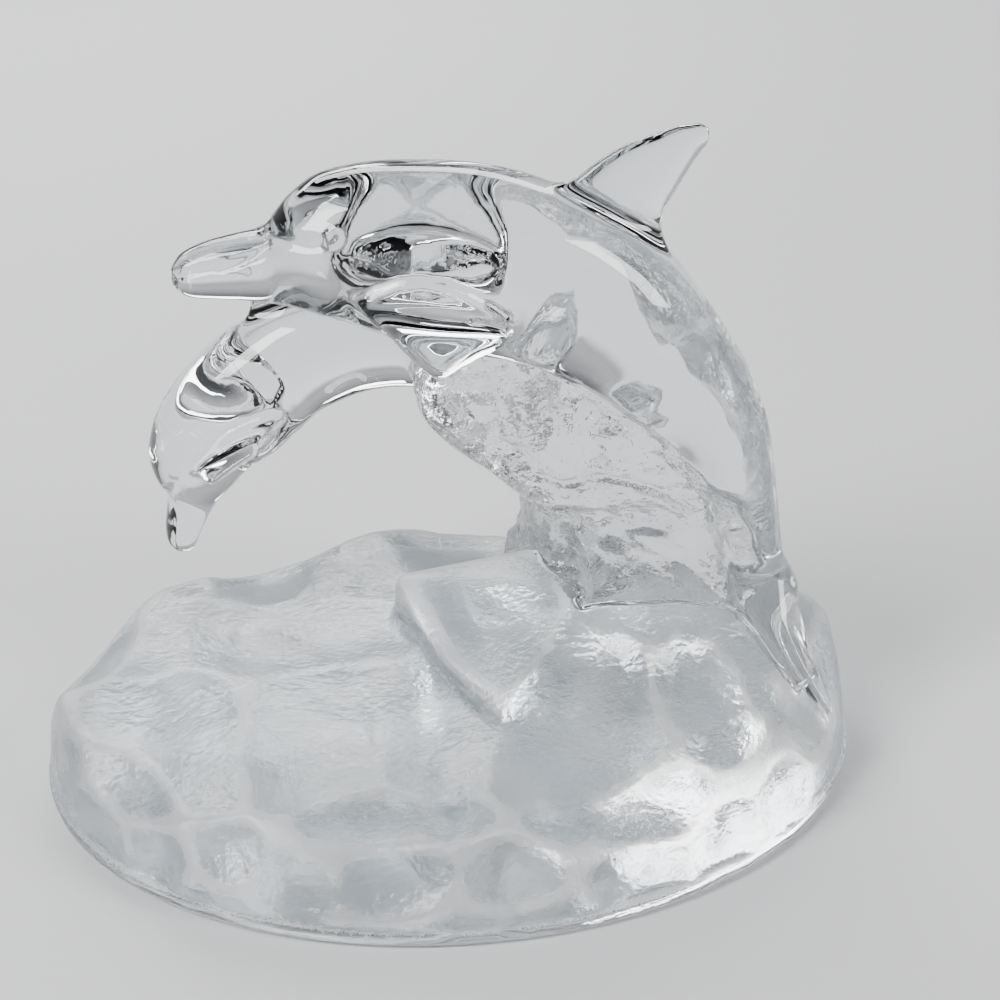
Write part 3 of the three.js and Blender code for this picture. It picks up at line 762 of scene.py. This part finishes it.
def head_details(field, dolphin, size):
    """The mouth line, the crease below the melon and the eyes of one dolphin."""
    for side in (1, -1):
        mouth = settle(field, marks_on(dolphin, MOUTH_LINE, side))
        groove(field, mouth, 0.55 * size + 0.1, 0.5)
        crease = settle(field, marks_on(dolphin, MELON_CREASE, side))
        outward = slope_at(field, crease)
        groove(field, crease + outward * 0.5 * size, 0.9 * size, 0.8)
        spot = settle(field, marks_on(dolphin, [EYE_MARK], side))
        eye(field, spot[0], slope_at(field, spot)[0], EYE_SIZE * size)


def shoulder_field(dolphin, side, swell):
    """The raised root of a flipper, which ends in a rounded ledge on the flank."""
    ledge = marks_on(dolphin, FLIPPER_LEDGE, side)
    return hull_field(ledge) - swell


def dolphin_field(dolphin, dorsal_span, flipper, fluke_span, size):
    """One dolphin with its fins, softly joined, and the details of its head."""
    whole = body_field(dolphin)
    fins = [dorsal_field(dolphin, dorsal_span)]
    for side in (1, -1):
        fins.append(flipper_field(dolphin, side=side, **flipper))
    flukes = [fluke_field(dolphin, fluke_span, side) for side in (1, -1)]
    whole = merge([whole] + fins, FIN_FILLET)
    whole = join(whole, merge(flukes, FLUKE_FILLET), FIN_FILLET)
    for side in (1, -1):
        whole = join(whole, shoulder_field(dolphin, side, LEDGE_SWELL * size), SHOULDER_FILLET)
    head_details(whole, dolphin, size)
    return whole


def ripple(scale, height, seed, streak=UP, stretch=0.0):
    """Soft irregular waves through the whole space, drawn out along a streak for rough glass."""
    draw = np.random.default_rng(seed)
    x, y, z = AXES[0][:, None, None], AXES[1][None, :, None], AXES[2][None, None, :]
    count = 7
    waves = np.zeros(SHAPE, np.float32)
    for _ in range(count):
        wave = draw.normal(0, 1 / scale, 3)
        a, b, c = wave - streak * (wave @ streak) * stretch
        bend = np.sin(draw.normal(0, 0.6 / scale) * (x + z) + draw.uniform(0, 6.3)) * 1.5
        waves += np.sin(a * x + b * y + c * z + draw.uniform(0, 6.3) + bend).astype(np.float32)
    return waves * np.float32(height / count)


def carved_base_field(draw):
    """The base with its scoops, many small dents between them, and soft waves above the rim."""
    base = base_field()
    for x, y, reach_x, reach_y, depth in SCOOPS:
        scoop(
            base,
            x * HALF_LENGTH,
            y * HALF_DEPTH,
            reach_x * HALF_LENGTH,
            reach_y * HALF_DEPTH,
            depth * SCOOP_DEPTH,
        )
    for _ in range(SMALL_SCOOPS):
        turn = draw.uniform(0, 2 * math.pi)
        reach = math.sqrt(draw.uniform(0.05, 0.97))
        x, y = HALF_LENGTH * reach * math.cos(turn), HALF_DEPTH * reach * math.sin(turn)
        size_x, size_y = draw.uniform(*SMALL_SCOOP_REACH, 2)
        scoop(base, x, y, size_x, size_y, draw.uniform(*SMALL_SCOOP_DEPTH))
    above_rim = smoothstep((AXES[2] - RIM_HEIGHT - 1.5) / 3).astype(np.float32)
    return base + ripple(**BASE_WAVES) * above_rim


def tongue_field():
    """The tongue of glass before the rock, with rounded edges round a hollow top."""
    spots = []
    for left, behind, share in TONGUE_CORNERS:
        x, y = LARGE_TAIL[0] - left * ROCK_LENGTH, behind * ROCK_LENGTH
        spots += [(x, y, share * TONGUE_HEIGHT), (x, y, PLATEAU_HEIGHT / 2)]
    spots = np.array(spots)
    drawn_in = spots + (spots.mean(0) - spots) * TONGUE_DRAW_IN
    tongue = hull_field(drawn_in) - TONGUE_SKIN
    tongue = blurred(tongue, spots.min(0) - 9, spots.max(0) + 9, TONGUE_ROUNDS)
    first_tops = spots[0:10:2]
    top = settle(tongue, [first_tops.mean(0)])
    outward = slope_at(tongue, top)[0]
    dimple(tongue, top[0], outward, TONGUE_HOLLOW_RADIUS, TONGUE_HOLLOW_DEPTH, 1.0)
    return tongue


def rough_rock_field(draw):
    """The rock with shallow facets, drawn-out waves and the crease across its front."""
    rock, rings = rock_field()
    rock -= ROCK_SWELL
    for _ in range(ROCK_FACETS):
        level = draw.integers(LOWEST_FACET_RING, len(rings) - 1)
        spot = settle(rock, [rings[level, draw.integers(0, rings.shape[1])]])
        outward = slope_at(rock, spot)[0] + draw.normal(0, FACET_TILT, 3)
        radius = draw.uniform(*FACET_RADIUS)
        dimple(rock, spot[0], outward, radius, draw.uniform(*FACET_DEPTH), FACET_EDGE)
    rock += ripple(streak=ROCK_STREAK, **ROCK_WAVES)
    crease = settle(rock, ROCK_CREASE)
    groove(rock, crease + slope_at(rock, crease) * 0.2, CREASE_RADIUS, CREASE_EDGE)
    return rock


def skin_of(field):
    """Points, triangles and quads of the skin where the distance is nought."""
    grid = vdb.FloatGrid(BAND * VOXEL)
    grid.transform = SPACE
    grid.copyFromArray(np.ascontiguousarray(field), ijk=FIRST_CELL, tolerance=0.0)
    return grid.convertToPolygons(isovalue=0.0, adaptivity=0.0)


def mesh_of(points, triangles, quads):
    """One closed mesh of the casting, with the flat underside as a single face."""
    work = bmesh.new()
    verts = [work.verts.new(p) for p in points]
    for face in list(triangles) + list(quads):
        work.faces.new([verts[i] for i in face])
    under = [f for f in work.faces if all(v.co.z < 0.05 for v in f.verts)]
    bmesh.ops.delete(work, geom=under, context="FACES")
    rim = [e for e in work.edges if e.is_boundary]
    bmesh.ops.contextual_create(work, geom=rim)
    bmesh.ops.recalc_face_normals(work, faces=work.faces)
    mesh = bpy.data.meshes.new("dolphin_casting")
    work.to_mesh(mesh)
    work.free()
    return mesh


def thin_out(item, limit):
    """Brings a mesh under a number of triangles, most where it is flattest."""
    count = sum(len(p.vertices) - 2 for p in item.data.polygons)
    if count <= limit:
        return
    change = item.modifiers.new("thin", "DECIMATE")
    change.ratio = limit / count
    change.use_collapse_triangulate = True
    reading = item.evaluated_get(bpy.context.evaluated_depsgraph_get())
    thinned = bpy.data.meshes.new_from_object(reading)
    item.modifiers.clear()
    item.data = thinned


def spots_of(mesh):
    """Where the corners of a mesh are."""
    spots = np.empty(len(mesh.vertices) * 3)
    mesh.vertices.foreach_get("co", spots)
    return spots.reshape(-1, 3)


def drop_slivers(mesh):
    """Merges the two ends of each edge that has no length."""
    work = bmesh.new()
    work.from_mesh(mesh)
    bmesh.ops.dissolve_degenerate(work, dist=0.00001, edges=work.edges)
    work.to_mesh(mesh)
    work.free()


def faces_where(mesh, marked):
    """For each face, whether a mark from 0 to 1 on its corners is over a half on the whole."""
    corners = np.empty(len(mesh.loops), int)
    mesh.loops.foreach_get("vertex_index", corners)
    starts = np.empty(len(mesh.polygons), int)
    mesh.polygons.foreach_get("loop_start", starts)
    totals = np.empty(len(mesh.polygons), int)
    mesh.polygons.foreach_get("loop_total", totals)
    return np.add.reduceat(marked[corners].astype(float), starts) / totals > 0.5


def new_material(name):
    """A material that works by nodes, then its nodes, its links and its shader."""
    material = bpy.data.materials.new(name)
    material.use_nodes = True
    nodes, links = material.node_tree.nodes, material.node_tree.links
    return material, nodes, links, nodes["Principled BSDF"]


def crystal(name, colour, roughness, bump_size, bump_depth):
    """See-through crystal, with a grain on its skin."""
    material, nodes, links, shader = new_material(name)
    shader.inputs["Base Color"].default_value = (*colour, 1)
    shader.inputs["Roughness"].default_value = roughness
    shader.inputs["Transmission Weight"].default_value = 1.0
    shader.inputs["IOR"].default_value = GLASS_IOR
    place = nodes.new("ShaderNodeTexCoord")
    grain = nodes.new("ShaderNodeTexNoise")
    grain.inputs["Scale"].default_value = bump_size
    grain.inputs["Detail"].default_value = 3.0
    bump = nodes.new("ShaderNodeBump")
    bump.inputs["Strength"].default_value = 1.0
    bump.inputs["Distance"].default_value = bump_depth
    links.new(place.outputs["Object"], grain.inputs["Vector"])
    links.new(grain.outputs["Fac"], bump.inputs["Height"])
    links.new(bump.outputs["Normal"], shader.inputs["Normal"])
    return material


def frost_and_paint_hollow_shade(material):
    """Clouds frosted glass: milkier and duller where the skin stands out, clearer in the hollows,
    where its colour is painted a dark grey blue as painted shade.
    """
    nodes, links = material.node_tree.nodes, material.node_tree.links
    shader = nodes["Principled BSDF"]
    shader.inputs["Transmission Weight"].default_value = FROST_TRANSMISSION
    stand = nodes.new("ShaderNodeAttribute")
    stand.attribute_name = "stand"
    cloud = nodes.new("ShaderNodeTexNoise")
    cloud.inputs["Scale"].default_value = 70.0
    cloud.inputs["Detail"].default_value = 5.0
    share = nodes.new("ShaderNodeMath")
    share.operation = "MULTIPLY_ADD"
    share.inputs[1].default_value = 0.75
    # The colour runs from a dark grey blue in the hollows, which is painted shade, to milky white
    # where the frost stands out.
    frost_milk_and_painted_shade = nodes.new("ShaderNodeValToRGB")
    stops = frost_milk_and_painted_shade.color_ramp.elements
    stops[0].position, stops[0].color = 0.3, (0.56, 0.635, 0.69, 1)
    stops[1].position, stops[1].color = 1.0, (0.985, 0.992, 1.0, 1)
    middle = stops.new(0.62)
    middle.color = (0.86, 0.9, 0.93, 1)
    dull = nodes.new("ShaderNodeMapRange")
    dull.inputs["To Min"].default_value = 0.13
    dull.inputs["To Max"].default_value = 0.38
    place = next(n for n in nodes if n.type == "TEX_COORD")
    links.new(place.outputs["Object"], cloud.inputs["Vector"])
    links.new(cloud.outputs["Fac"], share.inputs[0])
    links.new(stand.outputs["Fac"], share.inputs[2])
    links.new(share.outputs["Value"], frost_milk_and_painted_shade.inputs["Fac"])
    links.new(share.outputs["Value"], dull.inputs["Value"])
    links.new(frost_milk_and_painted_shade.outputs["Color"], shader.inputs["Base Color"])
    links.new(dull.outputs["Result"], shader.inputs["Roughness"])


def paper_white():
    """The floor's material: pale and matt, and lit evenly far out, past the lamps' reach."""
    material, nodes, links, shader = new_material("pale_floor")
    shader.inputs["Base Color"].default_value = (0.54, 0.545, 0.555, 1)
    shader.inputs["Roughness"].default_value = 0.8
    shader.inputs["Emission Color"].default_value = (0.47, 0.475, 0.485, 1)
    place = nodes.new("ShaderNodeTexCoord")
    away = nodes.new("ShaderNodeVectorMath")
    away.operation = "LENGTH"
    glow = nodes.new("ShaderNodeMapRange")
    glow.interpolation_type = "SMOOTHSTEP"
    glow.inputs["From Min"].default_value = 0.25
    glow.inputs["From Max"].default_value = 1.1
    glow.inputs["To Max"].default_value = 1.0
    links.new(place.outputs["Object"], away.inputs[0])
    links.new(away.outputs["Value"], glow.inputs["Value"])
    links.new(glow.outputs["Result"], shader.inputs["Emission Strength"])
    return material


def put(name, data):
    """A new object in the scene."""
    item = bpy.data.objects.new(name, data)
    bpy.context.scene.collection.objects.link(item)
    return item


def facing(place, aim):
    """How a lamp or camera at a place is turned to face a spot."""
    return (Vector(aim) - Vector(place)).to_track_quat("-Z", "Y").to_euler()


def plain_floor(reach):
    """A square floor, a hair below the figurine."""
    mesh = bpy.data.meshes.new("floor")
    spots = [(-reach, -reach, 0), (reach, -reach, 0), (reach, reach, 0), (-reach, reach, 0)]
    mesh.from_pydata(spots, [], [(0, 1, 2, 3)])
    mesh.materials.append(paper_white())
    item = put("floor", mesh)
    item.location.z = -0.0002
    return item


def softbox(name, place, aim, size, power):
    """A large soft lamp that faces the figurine."""
    lamp = bpy.data.lights.new(name, "AREA")
    lamp.shape = "RECTANGLE"
    lamp.size, lamp.size_y = size
    lamp.energy = power
    item = put(name, lamp)
    item.location = place
    item.rotation_euler = facing(place, aim)


def studio_sky():
    """A plain studio, pale round the horizon and darker overhead, so that glass edges show."""
    world = bpy.data.worlds.new("studio")
    world.use_nodes = True
    nodes, links = world.node_tree.nodes, world.node_tree.links
    direction = nodes.new("ShaderNodeTexCoord")
    height = nodes.new("ShaderNodeSeparateXYZ")
    fade = nodes.new("ShaderNodeValToRGB")
    low, high = fade.color_ramp.elements
    low.position, low.color = 0.06, (0.74, 0.75, 0.77, 1)
    high.position, high.color = 0.55, (0.07, 0.075, 0.08, 1)
    links.new(direction.outputs["Generated"], height.inputs["Vector"])
    links.new(height.outputs["Z"], fade.inputs["Fac"])
    links.new(fade.outputs["Color"], nodes["Background"].inputs["Color"])
    nodes["Background"].inputs["Strength"].default_value = 0.8
    return world


def photo_camera(place, aim, lens):
    """A camera at the photo's viewing angle."""
    data = bpy.data.cameras.new("camera")
    data.lens = lens
    data.sensor_width = 36.0
    item = put("camera", data)
    item.location = place
    item.rotation_euler = facing(place, aim)
    return item


# The forms of the casting, each as the distance to its skin
large = Dolphin(LARGE_LENGTH, LARGE_GIRTH, LARGE_TAIL, LARGE_POSE)
small = Dolphin(SMALL_LENGTH, SMALL_GIRTH, SMALL_TAIL, SMALL_POSE)
large_flipper = {"span": LARGE_FLIPPER_SPAN, **LARGE_FLIPPER}
small_flipper = {"span": SMALL_FLIPPER_SPAN, **SMALL_FLIPPER}
large_field = dolphin_field(large, LARGE_DORSAL_SPAN, large_flipper, LARGE_FLUKE_SPAN, 1.0)
small_field = dolphin_field(small, SMALL_DORSAL_SPAN, small_flipper, SMALL_FLUKE_SPAN, 0.7)
rough_draw = np.random.default_rng(7)
base = carved_base_field(rough_draw)
rock = rough_rock_field(rough_draw)
foot = join(base, tongue_field(), BASE_FILLET)
whole = join(foot, rock, ROCK_FILLET)
whole = join(whole, join(large_field, small_field, BODY_FILLET), ROCK_FILLET)

# The casting as one mesh, held inside the solid's box
casting = put("dolphin_casting", mesh_of(*skin_of(whole)))
thin_out(casting, MOST_TRIANGLES)
mesh = casting.data
low, high = (np.array(corner) * 1000 for corner in cad_box)
mesh.vertices.foreach_set("co", np.clip(spots_of(mesh), low, high).ravel())
drop_slivers(mesh)
spots = spots_of(mesh)
mesh.vertices.foreach_set("co", (spots / 1000).ravel())
for polygon in mesh.polygons:
    polygon.use_smooth = True

# Clear glass on the dolphins and the rim, frosted on the base and its tongue, rough on the rock
mesh.materials.append(crystal("clear_crystal", (0.94, 0.96, 0.975), 0.02, 60.0, 0.00008))
mesh.materials.append(crystal("frosted_crystal", (0.96, 0.975, 0.985), 0.26, 700.0, 0.0003))
mesh.materials.append(crystal("rough_crystal", (0.945, 0.963, 0.975), 0.06, 260.0, 0.001))
frost_and_paint_hollow_shade(mesh.materials["frosted_crystal"])
above_step = spots[:, 2] - RIM_HEIGHT
off_rock = value_at(rock, spots)
off_dolphins = value_at(join(large_field, small_field, 1.0), spots)
off_clear = np.minimum(off_rock, off_dolphins)
frost = smoothstep((off_clear - FROST_GAP) / FROST_FADE) * smoothstep((above_step + 0.1) / 0.4)
on_rock = (off_rock < FROST_GAP) & (off_dolphins > off_rock) & (above_step > 0)
finish = np.where(faces_where(mesh, frost), 1, np.where(faces_where(mesh, on_rock), 2, 0))
mesh.polygons.foreach_set("material_index", finish.astype(np.int32))

# How much each spot of the base and tongue stands out from the skin around it
foot_top = SPACE_HIGH * (1, 1, 0) + UP * 1.5 * MOUND_HEIGHT
even_foot = blurred(foot, SPACE_LOW, foot_top, STAND_ROUNDS)
stand_out = value_at(even_foot, settle(foot, spots))
# This stand-out also sets the painted shade in the frosted glass's colour, darkest in the hollows.
stand = mesh.attributes.new("stand", "FLOAT", "POINT")
standing = smoothstep((stand_out - STAND_LEAST) / STAND_RANGE)
stand.data.foreach_set("value", standing.astype(np.float32))

# Normals from the distance itself, so that the skin shades smoothly between its triangles
mesh.normals_split_custom_set_from_vertices([tuple(n) for n in slope_at(whole, spots)])

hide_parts("dolphin_figurine")
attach(casting, "root")
plain_floor(FLOOR_REACH)

for lamp in SOFTBOXES:
    softbox(*lamp)
bpy.context.scene.world = studio_sky()
camera = photo_camera(CAMERA_PLACE, CAMERA_AIM, CAMERA_LENS)
bpy.context.scene.camera = camera
